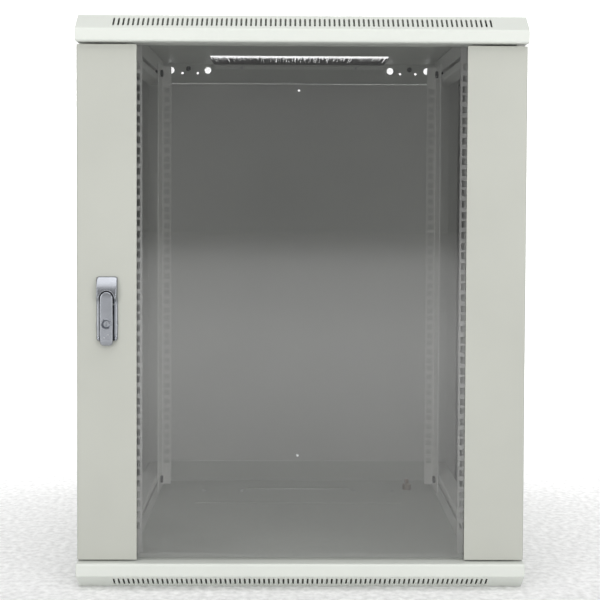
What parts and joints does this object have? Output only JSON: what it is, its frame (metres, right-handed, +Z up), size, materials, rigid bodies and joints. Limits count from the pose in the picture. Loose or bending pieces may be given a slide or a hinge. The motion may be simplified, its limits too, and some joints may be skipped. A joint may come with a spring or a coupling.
{
  "type": "wall-mount network server rack cabinet",
  "caption": "Wall-hung 19-inch rack cabinet: folded steel body with vented bevelled caps, tinted glass door with swing-lever lock, lift-off sides, adjustable rails.",
  "frame": {"origin": "centre of the base's underside", "axes": "+Z up, +X to the right seen from the front, +Y from the door to the wall"},
  "size_m": [0.6, 0.6, 0.77],
  "materials": {
    "cap_paint": "light grey powder coat, fine texture, semi-gloss",
    "door_paint": "light grey powder coat, fine texture, semi-matt",
    "frame_paint": "light grey powder coat on the frame, back, sides and inside",
    "rail_paint": "light grey powder coat on the mounting rails",
    "smoked_glass": "4 mm toughened glass, neutral grey tint, polished",
    "chromed_zinc": "satin chrome on die-cast zinc",
    "zinc_plate": "bright zinc plate on steel",
    "black_steel": "black oxide steel",
    "black_rubber": "black rubber and foam strip",
    "white_nylon": "natural white nylon",
    "black_bristle": "black nylon bristle",
    "copper_brass": "brass stud, washers and nut, slightly tarnished"
  },
  "bodies": {
    "cabinet": {"top_cap": "cap_paint", "bottom_cap": "cap_paint", "rear_flange_rivets": "frame_paint", "back_panel": "frame_paint", "back_panel_screws": "zinc_plate", "right_front_post": "frame_paint", "left_front_post": "frame_paint", "right_rear_post": "frame_paint", "left_rear_post": "frame_paint", "lower_right_beam": "frame_paint", "lower_left_beam": "frame_paint", "upper_right_beam": "frame_paint", "upper_left_beam": "frame_paint", "brush_holder": "frame_paint", "brush_screws": "zinc_plate", "brush_bristles": "black_bristle", "floor_cover": "cap_paint", "floor_cover_screws": "zinc_plate", "earth_stud": "copper_brass", "earth_fasteners": "copper_brass", "door_seal": "black_rubber", "hinge_bushes": "white_nylon"},
    "door": {"hinge_stile": "door_paint", "lock_stile": "door_paint", "glass_pane": "smoked_glass", "glass_seal": "black_rubber", "glass_clamps": "zinc_plate", "upper_hinge_bracket": "zinc_plate", "hinge_spring": "zinc_plate", "lower_hinge_bracket": "zinc_plate", "lower_hinge_pin": "zinc_plate", "hinge_washers": "white_nylon", "lock_base": "chromed_zinc", "lock_clamp": "zinc_plate", "lock_clamp_screws": "zinc_plate"},
    "hinge_pin": {"upper_hinge_pin": "zinc_plate"},
    "spindle": {"lock_spindle": "zinc_plate", "lock_cam": "zinc_plate", "cam_screw": "zinc_plate"},
    "lever": {"lock_lever": "chromed_zinc", "lever_pin": "zinc_plate"},
    "key": {"key_cylinder": "chromed_zinc"},
    "front_left_rail": {"front_left_rail": "rail_paint", "front_left_rail_fixings": "black_steel"},
    "front_right_rail": {"front_right_rail": "rail_paint", "front_right_rail_fixings": "black_steel"},
    "rear_left_rail": {"rear_left_rail": "rail_paint", "rear_left_rail_fixings": "black_steel"},
    "rear_right_rail": {"rear_right_rail": "rail_paint", "rear_right_rail_fixings": "black_steel"},
    "left_panel": {"left_side_panel": "frame_paint"},
    "right_panel": {"right_side_panel": "frame_paint"},
    "left_latch": {"left_panel_lock": "zinc_plate", "left_panel_cam": "zinc_plate"},
    "right_latch": {"right_panel_lock": "zinc_plate", "right_panel_cam": "zinc_plate"}
  },
  "joints": [
    {"name": "door_swing", "type": "hinge", "parent": "cabinet", "child": "door", "pos_m": [0.291, -0.277, 0.385], "axis": [0, 0, 1], "range_deg": [0, 180]},
    {"name": "hinge_pin_pull", "type": "slide", "parent": "door", "child": "hinge_pin", "axis": [0, 0, -1], "range_m": [0, 0.01], "stiffness_N_per_m": 600, "springref_m": -0.006, "deforming": ["hinge_spring"]},
    {"name": "lever_turn", "type": "hinge", "parent": "door", "child": "spindle", "pos_m": [-0.259, -0.289, 0.3926], "axis": [0, -1, 0], "range_deg": [0, 90]},
    {"name": "lever_lift", "type": "hinge", "parent": "spindle", "child": "lever", "pos_m": [-0.259, -0.2952, 0.3926], "axis": [-1, 0, 0], "range_deg": [0, 30]},
    {"name": "key_turn", "type": "hinge", "parent": "lever", "child": "key", "pos_m": [-0.259, -0.2952, 0.3583], "axis": [0, -1, 0], "range_deg": [0, 90]},
    {"name": "front_left_rail_slide", "type": "slide", "parent": "cabinet", "child": "front_left_rail", "axis": [0, 1, 0], "range_m": [-0.04, 0.12]},
    {"name": "front_right_rail_slide", "type": "slide", "parent": "cabinet", "child": "front_right_rail", "axis": [0, 1, 0], "range_m": [-0.04, 0.12]},
    {"name": "rear_left_rail_slide", "type": "slide", "parent": "cabinet", "child": "rear_left_rail", "axis": [0, 1, 0], "range_m": [-0.14, 0.035]},
    {"name": "rear_right_rail_slide", "type": "slide", "parent": "cabinet", "child": "rear_right_rail", "axis": [0, 1, 0], "range_m": [-0.14, 0.035]},
    {"name": "left_panel_tilt", "type": "hinge", "parent": "cabinet", "child": "left_panel", "pos_m": [-0.2995, 0, 0.0395], "axis": [0, -1, 0], "range_deg": [0, 25]},
    {"name": "right_panel_tilt", "type": "hinge", "parent": "cabinet", "child": "right_panel", "pos_m": [0.2995, 0, 0.0395], "axis": [0, 1, 0], "range_deg": [0, 25]},
    {"name": "left_latch_turn", "type": "hinge", "parent": "left_panel", "child": "left_latch", "pos_m": [-0.2995, 0, 0.7], "axis": [-1, 0, 0], "range_deg": [0, 90]},
    {"name": "right_latch_turn", "type": "hinge", "parent": "right_panel", "child": "right_latch", "pos_m": [0.2995, 0, 0.7], "axis": [1, 0, 0], "range_deg": [0, 90]}
  ]
}
